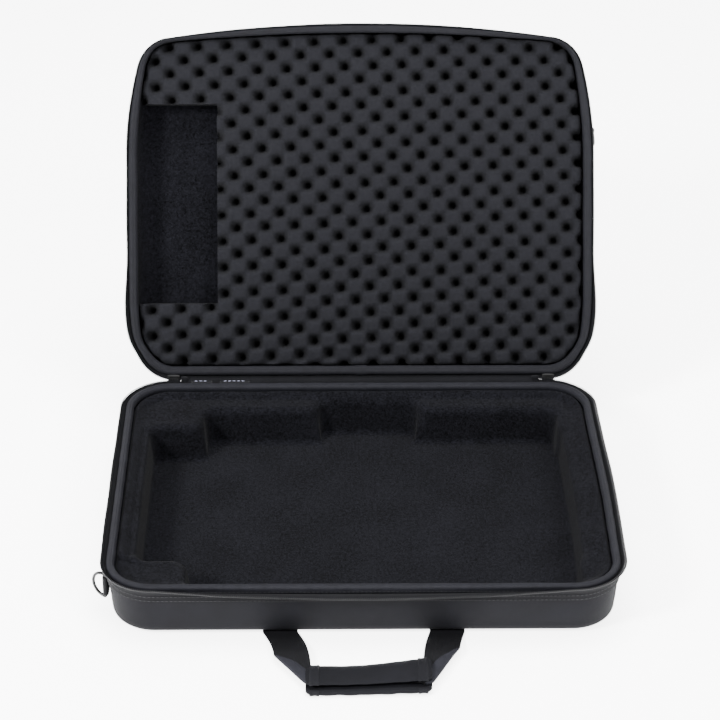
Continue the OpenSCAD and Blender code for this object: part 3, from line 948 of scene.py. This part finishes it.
def add_foam():
    """The lid's egg-crate foam, with its cut-out and its rim squeezed in between the walls."""
    half_w, half_d = HALF_W - FOAM_INSET, HALF_D - FOAM_INSET
    radius = CORNER_R - FOAM_INSET
    cut_x, cut_low, cut_high = FOAM_CUT
    spacing = 1.5

    def spans(*stops):
        parts = []
        for low, high in zip(stops[:-1], stops[1:]):
            parts.append(np.linspace(low, high, max(2, round((high - low) / spacing) + 1))[:-1])
        return np.concatenate([*parts, stops[-1:]])

    xs, ys = spans(-half_w, cut_x, half_w), spans(-half_d, cut_low, cut_high, half_d)
    x, y = np.meshgrid(xs, ys, indexing="ij")
    mid_x, mid_y = x[:-1, :-1] + spacing / 2, y[:-1, :-1] + spacing / 2
    solid = ~((mid_x < cut_x) & (mid_y > cut_low) & (mid_y < cut_high))
    x = fit_outline(x, y, half_w, half_d, radius, CORNER_X - 4)
    edge = -box_distance(x, y, (-half_w, -half_d, half_w, half_d), radius)
    x, y, _ = np.moveaxis(lid_draw(np.stack([x, y, 0 * x], -1)), -1, 0)
    rise, peak = foam_height(x, y)
    near = np.clip(1 - edge / 7, 0, 1)
    rise = np.maximum(rise - 6.5 * (1 - np.sqrt(np.maximum(1 - near ** 2, 0))), 4)
    # The squeezed rim scallops: peaks push out, hollows draw in.
    pull = (1 - ramp(edge, 0, 12)) * (3.2 * peak - 1.6)
    grow = 1 + pull / np.maximum(np.hypot(x, y), 60)
    points = np.stack([x * grow, y * grow, FOAM_LOW + rise], -1).reshape(-1, 3)
    cells = grid_cells(x.shape)[1][solid]
    faces = cells.tolist()
    start = len(points)
    points = close_below(points, faces, outline_loop(cells), FOAM_LOW, (0.66, 0.33, 0.0))
    used = np.unique(np.concatenate([cells.ravel(), np.arange(start, len(points))]))
    index = np.full(len(points), -1)
    index[used] = np.arange(len(used))
    faces = [index[face].tolist() for face in faces]
    foam = add_mesh("lid_foam_convoluted", points[used], faces, FOAM, place=open_lid, sharp=55)
    # Painted shade: the foam's colour darkens into its hollows and on its cut sides, and lightens towards the
    # peaks.
    painted_hollow_shade = np.concatenate([peak.ravel(), np.full(len(points) - start, 0.2)])[used]
    foam.data.attributes.new("peak", "FLOAT", "POINT").data.foreach_set("value", painted_hollow_shade.astype(np.float32))
    ride(foam, "lid", "foam", "lid_foam")


# ---------- hinge panel and labels ----------


def add_hinge_cloth():
    """The cloth between the two back walls, sewn under both bindings."""
    lower = [(0.65, 46.5), (0.65, 51), (1.1, 54.5), (2.2, 57.5), (3.3, 60.5), (4.9, 63.3), (6.2, 65)]
    lower = np.array(lower) + (HALF_D, 0)
    upper = open_lid(at_x(0, lower[::-1]))[:, 1:]
    line = smooth_line(np.concatenate([lower, upper]), 34)
    rows = []
    for x in np.linspace(-208.5, 208.5, 105):
        sway = 0.3 * ripple(x, line[:, 1] * 3, 60, 51)
        rows.append(at_x(x, thicken(line + np.stack([sway, sway * 0.4], 1), 0.45)))
    cloth = loft("hinge_panel_cloth", rows, PANEL, place=as_is)
    ends = (0, HINGE_Y - 2.5, ZIP_Z - 2), (0, HINGE_Y + 2.5, ZIP_Z - 0.2)
    bend(cloth, ("base", "lid"), ends, "panel", "hinge_panel")


def add_label(size, middle, width):
    """A blank woven label folded over the hinge cloth's slope, stitched along both ends."""
    name = f"label_{size}_satin"
    slope = np.array([(2.4, 60.4), (3.6, 62.6), (5.0, 64.6), (5.6, 66.7)]) + (HALF_D, 0)
    slope = smooth_line(slope, 12)
    rows = []
    for t in np.linspace(-1, 1, 15):
        curl = 0.25 * abs(t) ** 6
        rows.append(at_x(middle + t * width / 2, thicken(slope - (curl, 0), 0.22)))
    label = loft(name, rows, LABEL)
    ride(label, "base", "label", f"label_{size}")
    seams = []
    for side in (-1, 1):
        spots = at_x(middle + side * (width / 2 - 1.6), slope - (0.3, 0))
        seams.append((spots[1:8:3], spots[3:10:3]))
    add_thread(name + "_stitches", seams, (0, -1, 0), "base", "label")
    # Plain woven dashes stand in for the words.
    y, z = slope[9] - (0.35, 0)
    dashes = seam((middle - width / 2 + 5, y, z), (middle + width / 2 - 6, y, z), 5.2, 3.4)
    shape = {"material": PALE_THREAD, "radius": 0.42, "lift": 0.05}
    add_thread(name + "_marks", [dashes], (0, -1, 0), "base", "label", **shape)


# ---------- webbing ----------

WEB_W = 37
WEB_T = 1.7
PIVOT_Y, PIVOT_Z = (value / MM for value in JOINTS["handle_swing"]["pos_m"][1:])
FOLD_R = 1.35
SLEEVE_Y = -285
SLEEVE_SLACK = 11
GRIP_MID = 4.4


def webbing_rows(middle, half, rise):
    """A closed strip round a middle surface, half a thickness to each side and thinner at its edges."""
    normal = unit(np.cross(np.gradient(middle, axis=0), np.gradient(middle, axis=1)))
    count = np.arange(middle.shape[1])
    edge = np.minimum(1, 0.45 + np.minimum(count, count[::-1]) * rise)[:, None]
    return both_sides(middle, normal * half * edge)


def add_leg(side, middle, crease, way, lean, ease, end):
    """One leg of the carry handle: sewn under the base, leaning, and folded over on itself into the grip.
    The crease is the line through crease along way. The leg leans by lean, most of it within ease."""
    name = f"handle_leg_{side}"
    far = beside(unit(way))
    if far[0] * middle < 0:
        far = -far

    def past_crease(x, y):
        return (x - crease[0]) * far[0] + (y - crease[1]) * far[1]

    def surface(y, x):
        beyond = past_crease(x, y)
        turn = np.clip(beyond / FOLD_R, 0, math.pi)
        over = np.maximum(beyond - math.pi * FOLD_R, 0)
        flat = np.where(beyond > 0, FOLD_R * np.sin(turn) - over, beyond)
        raised = FOLD_R * (1 - np.cos(turn)) * (1 - 0.9 * ramp(over, 6, 20))
        px = x + (flat - beyond) * far[0]
        py = y + (flat - beyond) * far[1]
        out = np.maximum(PIVOT_Y - py, 0)
        px = px + lean * (1 - np.exp(-out / ease))
        inside = (1 - ramp(np.abs(px - GRIP_MID), 60, 80)) * ramp(-py, 252, 272)
        py = py + inside * (SLEEVE_Y + SLEEVE_SLACK * np.tanh((py - SLEEVE_Y) / SLEEVE_SLACK) - py)
        rise = 5.0 * ramp(out, 4, 64) + 1.6 * np.sin(math.pi * np.clip(out / 66, 0, 1)) ** 2
        cup = 0.5 * ((x - middle) / (WEB_W / 2)) ** 2 * ramp(out, 6, 30) * (1 - ramp(out, 50, 64))
        return np.stack([px, py, PIVOT_Z + rise + raised + cup], -1)

    u = np.concatenate([np.arange(-169, -236, -2.5), np.arange(-236, end, -0.75)])
    v = middle + np.linspace(-WEB_W / 2, WEB_W / 2, 45)
    across, along = np.meshgrid(v, u)
    leg = loft(name, webbing_rows(surface(along, across), WEB_T / 2, 0.4), WEBBING, place=as_is, sharp=60)
    # Past the crease the folded-over part gets a paler copy of the webbing: painted sheen for a layer that
    # faces the light differently.
    leg.data.materials.append(WEBBING_PAINTED_SHEEN)
    count = len(v)
    for face in leg.data.polygons:
        row, column = divmod(face.vertices[0], 2 * count)
        if row < len(u) and column >= count and past_crease(v[2 * count - 1 - column], u[row]) > FOLD_R:
            face.material_index = 1
    ends = (0, PIVOT_Y + 8, 0), (0, PIVOT_Y - 8, 0)
    bend(leg, ("base", "handle"), ends, "webbing", "handle_anchors", "handle_strap")
    seams = []
    for x in (middle - 15.5, middle + 15.5):
        seams.append(seam((x, -174, PIVOT_Z - WEB_T / 2), (x, -196, PIVOT_Z - WEB_T / 2), 4.2, 3))
    add_thread(name + "_stitches", seams, (0, 0, -1), "base", "webbing")


def add_lid_handle():
    """A plain webbing loop that hangs behind the lid, narrowed where the hand takes it."""
    pivot = np.array(JOINTS["lid_handle_swing"]["pos_m"]) / MM
    root, sewn = open_lid([(0, PIVOT_Y + 1, 2 * ZIP_Z - 117.55), (0, -168.5, 2 * ZIP_Z - 117.9)])
    leg_x, drop, turn, held, count = 88, 54, 34, 11, 25
    # One half as (X, distance below the pivot, width): the leg, its bend, then the middle.
    half = [(leg_x - 3 * ramp(d, 0, drop), d, WEB_W - 5 * ramp(d, 20, drop)) for d in np.linspace(0, drop, 16)]
    for angle in np.radians(np.linspace(12, 90, 12)):
        x = leg_x - 3 - turn * (1 - math.cos(angle))
        half.append((x, drop + turn * math.sin(angle), 32 - 12 * ramp(angle, 0, 1.2)))
    half += [(x, drop + turn, 20) for x in np.linspace(46, 0, 10)]
    x, fall, width = np.transpose(half)
    hanging = np.column_stack([x, (pivot + fall[:, None] * (0, 0.02, -1.0))[:, 1:], width])
    fixed = [(leg_x, *(sewn + (root - sewn) * t)[1:], WEB_W) for t in np.arange(held) / held]
    half = np.concatenate([fixed, hanging])
    path = np.concatenate([half, half[-2::-1] * (-1, 1, 1, 1)])
    centre, width = path[:, :3], path[:, 3]
    flat = np.cross(unit(np.gradient(centre, axis=0)), (0, 1.0, 0))
    flat[:held] = flat[-held:] = (1, 0, 0)
    rows = centre[:, None] + np.linspace(-0.5, 0.5, count)[:, None] * width[:, None, None] * unit(flat)[:, None]
    for k in range(1, len(rows)):
        near, far = np.linalg.norm(rows[k, [0, -1]] - rows[k - 1, 0], axis=1)
        if near > far:
            rows[k] = rows[k, ::-1].copy()
    half_t = (0.8 + 0.6 * ramp(35 - width, 0, 12))[:, None, None]
    skin = webbing_rows(rows, half_t, 0.3)
    skin = loft("lid_handle_webbing", skin, WEBBING, place=as_is, sharp=60)
    ends = pivot + (0, -3, 3), pivot + (0, 1, -4)
    bend(skin, ("lid", "lid_handle"), ends, "webbing", "lid_anchors", "lid_strap")


# ---------- padded grip ----------

GRIP_HALF = 65
GRIP_CENTRE = np.array([-281, 6.7])
GRIP_BEND = {"upper": (13, 3.4), "lower": (3.5, 1.6)}
GRIP_END_DRAW = {"upper": 0.3, "lower": 0.22}
GRIP_SECTION = {
    "lower": [
        (-265.6, 6.2), (-264.8, 4.6), (-266.0, 2.6), (-269, 1.2), (-274, 0.5), (-280, 0.35), (-288, 0.35),
        (-296, 0.35), (-302, 0.4), (-306.6, 1.0), (-308.6, 2.6), (-308.8, 4.6), (-307.6, 6.1), (-305.4, 6.5),
        (-303.2, 5.4), (-300.6, 4.2), (-292, 4.4), (-282, 5.3), (-272, 5.4),
    ],
    "upper": [
        (-265.9, 4.4), (-264.5, 6.4), (-266.4, 9.2), (-270.6, 10.9), (-275, 12.1), (-280.5, 12.7), (-286, 12.6),
        (-291.4, 12.2), (-296, 11.7), (-299.2, 11.1), (-300.8, 10.3), (-300.2, 9.5), (-297, 9.0), (-290, 8.0),
        (-282, 7.7), (-274, 7.6), (-268.6, 6.0),
    ],
}
GRIP_NODES = {
    "lower": ("grip_cover", "grip_pad", "grip_hook"),
    "upper": ("flap_cover", "flap_pad", "flap_loop"),
}


def puff(obj, pinned, reach):
    """Blows a closed cloth up with the cloth solver. Pinned points stay, and the rest move up to reach."""
    frames = 20
    group = obj.vertex_groups.new(name="pin")
    group.add(pinned.tolist(), 1.0, "REPLACE")
    before = np.array([v.co for v in obj.data.vertices])
    cloth = obj.modifiers.new("cloth", "CLOTH")
    settings = cloth.settings
    settings.quality = 6
    settings.mass = 0.2
    settings.tension_stiffness = 12
    settings.compression_stiffness = 12
    settings.shear_stiffness = 6
    settings.bending_stiffness = 0.4
    settings.use_pressure = True
    settings.uniform_pressure_force = 4.0
    settings.vertex_group_mass = "pin"
    settings.effector_weights.gravity = 0
    cloth.point_cache.frame_start = 1
    cloth.point_cache.frame_end = frames
    for number in range(1, frames + 1):
        scene.frame_set(number)
    shaped = obj.evaluated_get(bpy.context.evaluated_depsgraph_get())
    moved = np.array([v.co for v in shaped.data.vertices]) - before
    length = np.linalg.norm(moved, axis=1)[:, None]
    obj.modifiers.remove(cloth)
    scene.frame_set(1)
    after = before + moved * np.minimum(1, reach * MM / np.maximum(length, 1e-9))
    after[:, 2] = np.maximum(after[:, 2], 0.4 * MM)
    obj.data.vertices.foreach_set("co", after.astype(np.float32).ravel())
    obj.data.update()


def subdivide(obj):
    """One smoothing subdivision, applied."""
    modifier = obj.modifiers.new("subdivide", "SUBSURF")
    modifier.levels = 1
    shaped = obj.evaluated_get(bpy.context.evaluated_depsgraph_get())
    mesh = bpy.data.meshes.new_from_object(shaped)
    obj.modifiers.remove(modifier)
    obj.data = mesh


def grip_shift(x, part):
    """The grip bows back and up a little towards its right end."""
    return ramp(x, -30, 105) * np.array(GRIP_BEND[part])


def grip_follow(y, part):
    """How much of that bow each place on a section takes: its back edge takes more than its front."""
    if part == "upper":
        return 0.4 + 0.6 * ramp(y, -300, -268)
    return 1 + 2.6 * ramp(y, -288, -266)


def grip_rows(section, xs, part):
    """The grip's section carried along x, drawn in at both ends and nipped at the collars."""
    section = np.array(section, float)
    from_y, from_z = (section - GRIP_CENTRE).T
    rows = []
    for x in xs:
        gap = GRIP_HALF - abs(x)
        size = 1 - GRIP_END_DRAW[part] * (1 - ramp(gap, -1, 7)) ** 2
        nip = 1 - 0.05 * sum(math.exp(-(((gap - seam_gap) / 2.2) ** 2)) for seam_gap in (4, 15))
        shift_y, shift_z = grip_shift(x, part)
        y = GRIP_CENTRE[0] + from_y * size + shift_y * grip_follow(section[:, 0], part)
        z = GRIP_CENTRE[1] + from_z * size * nip + shift_z
        crumple = 0.5 * ripple(x * 1.6, y * 1.3, 22, 71) * share(np.abs(from_z), 0, 5)
        rows.append(at_x(x + GRIP_MID, np.stack([y, np.maximum(z + crumple, 0.3)], 1)))
    return np.array(rows)


def ride_grip(piece, part, slot, *nodes):
    """The lower half rides the handle; the upper half is handed to bend, with two points along its back edge.
    """
    if part == "lower":
        ride(piece, "handle", slot, *nodes)
        return
    y, z = (value / MM for value in JOINTS["grip_wrap"]["pos_m"][1:])
    bend(piece, ("handle", "grip_flap"), ((0, y + 1.5, z), (0, y - 7, z)), slot, *nodes)


def add_grip():
    """Two padded flaps that close round the webbing: the lower is sewn to it, the upper lifts at its front."""
    xs = np.concatenate([[-65, -64.3, -62.5], np.linspace(-59.5, 59.5, 41), [62.5, 64.3, 65]])
    seam_columns = np.any([np.abs(np.abs(xs) - spot) < 1.6 for spot in (61, 50)], axis=0)
    for part in ("lower", "upper"):
        rows = grip_rows(GRIP_SECTION[part], xs, part)
        pad = loft(f"grip_{part}_padded", rows, GRIP, place=as_is, sharp=70)
        flat = np.arange(rows.shape[0] * rows.shape[1]).reshape(rows.shape[:2])
        ends = [flat[:3].ravel(), flat[-3:].ravel(), flat[:, 0], flat[:, 11], flat[seam_columns].ravel()]
        puff(pad, np.unique(np.concatenate(ends)), reach=1.3)
        subdivide(pad)
        ride_grip(pad, part, "grip_fabric", *GRIP_NODES[part])
    for part, last in (("upper", 12), ("lower", 14)):
        for side, low in (("left", -61), ("right", 50.5)):
            add_collar(part, side, GRIP_SECTION[part][:last], np.linspace(low, low + 10.5, 17))


def add_collar(part, side, section, xs):
    """An edge tape sewn over one half of the grip at one end, with a welt along each of its edges."""
    skins = []
    for x, row in zip(xs, grip_rows(section, xs, part)):
        away = unit(row[:, 1:] - GRIP_CENTRE - grip_shift(x, part))
        across = abs(2 * (x - xs[0]) / (xs[-1] - xs[0]) - 1)
        thick = 0.25 if across == 1 else 0.35 + 0.75 * math.exp(-(((across - 0.72) / 0.22) ** 2))
        outer = row + np.column_stack([0 * row[:, 0], away * thick])
        inner = row - np.column_stack([0 * row[:, 0], away * 0.6])
        outer[:, 2] = np.maximum(outer[:, 2], 0.22)
        skins.append(np.concatenate([outer, inner[::-1]]))
    band = loft(f"grip_collar_{part}_{side}", skins, GRIP_EDGE, place=as_is, sharp=50)
    ride_grip(band, part, "binding", "grip_collars")


# ---------- D-rings ----------

RING_Z = 34
RING_WIRE = 1.7
RING_OFF = 3.3
RING_GAP = 25


def add_ring(name, side, along, rest, body, place):
    """A D-ring, its bar along the wall's height, and the webbing loop that holds it."""

    def at(points):
        """Places (out, along, up) coordinates round the ring's bar against the side wall."""
        out, ahead, up = np.moveaxis(np.array(points, float), -1, 0)
        return np.stack([side * (HALF_W + RING_OFF + out), along + ahead, RING_Z + up], -1)

    arc_r = RING_GAP / 2 + RING_WIRE
    reach = 2.5
    path = [(0, z) for z in np.linspace(-arc_r + 2.5, arc_r - 2.5, 9)]
    path += [(0.35, arc_r - 0.9), (1.2, arc_r - 0.1)]
    path += arc((reach, 0), arc_r, 90, -90, 29)
    path += [(1.2, -arc_r + 0.1), (0.35, -arc_r + 0.9)]
    out, up = np.transpose(path)
    tilt = math.radians(90 - rest)
    centre = np.stack([out * math.cos(tilt), out * math.sin(tilt), up], 1)
    tangent = unit(np.roll(centre, -1, 0) - np.roll(centre, 1, 0))
    flat = np.broadcast_to([-math.sin(tilt), math.cos(tilt), 0], centre.shape)
    rows = at(tube(centre, np.cross(tangent, flat), flat, RING_WIRE, 12))
    ring = loft(f"d_ring_{name}_wire", rows, STEEL, ring=True, place=place, sharp=60)
    ride(ring, f"ring_{name}", "steel", f"d_ring_{name}")
    # The tab: webbing from the wall, round the bar and back on itself.
    thick = 1.25
    bend_r = RING_WIRE + 0.2 + thick / 2
    wall, tail = 0.66 - RING_OFF, 1.95 - RING_OFF
    line = [(wall, 30), (wall, 14), (wall + 0.04, 5)]
    line += arc((0, 0), bend_r, 180, 360, 9)
    line += [(bend_r, 1.5), (bend_r - 1.6, 7), (tail + 0.3, 12), (tail, 15), (tail, 30)]
    line = smooth_line(line, 46)
    half = (RING_GAP - 2.4) / 2
    inner = np.linspace(-half + 1.2, half - 1.2, 9)
    rows = []
    for z in (-half, -half + 0.4, *inner, half - 0.4, half):
        section = thicken(line, thick / 2 * (0.75 if abs(z) == half else 1.0))
        rows.append(np.column_stack([section, np.full(len(section), z)]))
    tab = loft(f"ring_tab_{name}_webbing", at(rows), WEBBING, place=place, sharp=60)
    ride(tab, body, "webbing", f"ring_tab_{name}")
    # Box stitches over the doubled tail.
    top = tail + thick / 2 + 0.1
    corners = [(top, *spot) for spot in ((16, -9.5), (28, -9.5), (28, 9.5), (16, 9.5), (16, -9.5), (28, 9.5))]
    seams = [seam(a, b, 3.3, 2.3, 0.3, 2.2) for a, b in zip(corners[:-1], corners[1:])]
    shape = {"place": lambda points: place(at(points)), "radius": 0.24, "lift": 0.15}
    add_thread(f"ring_tab_{name}_stitches", seams, (1, 0, 0), body, "webbing", **shape)


# ---------- zip sliders, pulls and stops ----------

BAR_OUT, BAR_Z = (value / MM for value in JOINTS["pull_right_swing"]["pos_m"][1:])
BAR_OUT -= HALF_D
PULL_LEN = 12
PULL_REST = math.radians(25)


def slider_outline(trim):
    """The slider's section round the coil, as (offset, height), with its edges taken in by trim."""
    inside, outside, low, high = 6.4 + trim, 10, ZIP_Z - 5.2, ZIP_Z + 5.2
    wall, edge = outside - 1.25 + trim, outside - trim
    return np.array([
        (inside, low + trim), (edge - 0.6, low + trim), (edge, low + 0.9 + trim), (edge, high - 0.9 - trim),
        (edge - 0.6, high - trim), (inside, high - trim), (inside, high - 0.8), (wall, high - 0.8),
        (wall, low + 0.8), (inside, low + 0.8),
    ])


def bail_rows(x):
    """A bent round wire on the slider's back, that the pull hangs on."""
    bail = [(9.6, -2.5), (BAR_OUT - 0.6, -2.6), (BAR_OUT + 0.1, -2.1), (BAR_OUT + 0.1, 0)]
    bail += [(BAR_OUT + 0.1, 2.1), (BAR_OUT - 0.6, 2.6), (9.6, 2.5)]
    centre = smooth_line(at_x(x, np.array(bail) + (HALF_D, BAR_Z)), 26)
    along = unit(np.gradient(centre, axis=0))
    first = unit(np.cross(along, (0.3, 0.2, 0.93)))
    return tube(centre, first, np.cross(along, first), 0.85, 10)


def add_slider(name, side):
    """A zip slider: a channel round the coil, a bail on its back, and a pull on the bail."""
    middle = side * CORNER_X
    body, pull = f"slider_{name}", f"pull_{name}"
    ends = [(-6.9, 0.3), (-6.5, 0.1), (-5.4, 0), (-2.5, -0.12), (2.5, -0.12), (5.4, 0), (6.5, 0.1), (6.9, 0.3)]
    rows = [at_x(middle + x, slider_outline(trim) + (HALF_D, 0)) for x, trim in ends]
    shell = loft(body + "_body", rows, CASTING, place=as_is, sharp=35)
    ride(shell, body, "metal_dark", body)
    bail = loft(body + "_bail", bail_rows(middle), CASTING, place=as_is, sharp=60)
    ride(bail, body, "metal_dark")
    way = np.array([side * math.cos(PULL_REST), math.sin(PULL_REST)])
    across = -beside(way)
    pivot = np.array([middle, HALF_D + BAR_OUT])
    # The eye round the bail.
    outline = [(1.2, -1.4), (1.35, -1.6), (2.05, -1.6), (2.25, -1.4)]
    outline += [(radius, -z) for radius, z in outline[::-1]]
    rows = []
    for angle in np.linspace(0, 2 * math.pi, 25)[:-1]:
        ray = way * math.cos(angle) + across * math.sin(angle)
        rows.append([(*(pivot + ray * radius), BAR_Z + z) for radius, z in outline])
    eye = loft(pull + "_eye", rows, CASTING, ring=True, place=as_is, sharp=40)
    ride(eye, pull, "metal_dark", pull)
    # The blade: a waist, then a broad end with bevelled edges.
    bevel = 0.22
    rows = []
    for reach, height, thick in (
        (1.9, 1.3, 0.6), (2.8, 1.15, 0.6), (4.0, 1.1, 0.55), (5.0, 1.35, 0.55), (6.2, 1.62, 0.6),
        (9.4, 1.68, 0.62), (10.6, 1.5, 0.6), (11.4, 1.1, 0.5), (PULL_LEN - 0.1, 0.45, 0.3),
    ):
        corner = np.array([(-thick, bevel - height), (bevel - thick, -height)])
        right = corner[::-1] * (-1, 1)
        outline = np.concatenate([corner, right, right[::-1] * (1, -1), corner[::-1] * (1, -1)])
        rows.append([(*(pivot + way * reach + across * t), BAR_Z + z) for t, z in outline])
    blade = loft(pull + "_blade", rows, CASTING, place=as_is, sharp=35)
    ride(blade, pull, "metal_dark")


def add_stops():
    """Folded tape ends that stop the sliders at each end of the zip."""

    def squarish(values, power):
        return np.sign(values) * np.abs(values) ** power

    turn = np.linspace(0, 2 * math.pi, 17)[:-1]
    section = np.stack([2 * squarish(np.cos(turn), 0.6), 4.4 * squarish(np.sin(turn), 0.7)], 1)
    for side, name in ((-1, "left"), (1, "right")):
        sizes = ((202.9, 0.7), (203.4, 0.95), (205.5, 1.05), (210.6, 0.98), (211.3, 0.7))
        rows = [at_x(side * x, section * size + (HALF_D + 7, ZIP_Z - 0.2)) for x, size in sizes]
        stop = loft(f"zip_stop_{name}", rows, TAPE, sharp=50)
        ride(stop, "base", "tape", "zip_stops")


add_shell("base_shell_skin", 65, "base", "base_shell", on_base, seed=1)
add_shell("lid_shell_skin", LID_H, "lid", "lid_shell", on_lid, seed=2)
add_binding("base", BINDING, on_base, seed=31, roll=-0.6)
add_binding("lid", SHADED_LID_BINDING, on_lid, seed=41, roll=1.0)
add_zip_side("base", on_base, droops=(1.0, 0.12, 0))
add_zip_side("lid", on_lid, droops=(0, 0, 3.6))
add_insert()
add_lid_lining()
add_foam()
add_hinge_cloth()
add_label("large", middle=-148, width=36)
add_label("small", middle=-187, width=26)
add_leg("left", -88, crease=(-106.5, -244), way=(24.5, -40), lean=18, ease=38, end=-299.5)
add_leg("right", 88, crease=(103, -238), way=(-19, -43), lean=-11, ease=40, end=-310)
add_grip()
add_lid_handle()
add_ring("left", -1, along=-158, rest=54, body="base", place=on_base)
add_ring("right", 1, along=-80, rest=9, body="lid", place=open_lid)
add_slider("left", -1)
add_slider("right", 1)
add_stops()
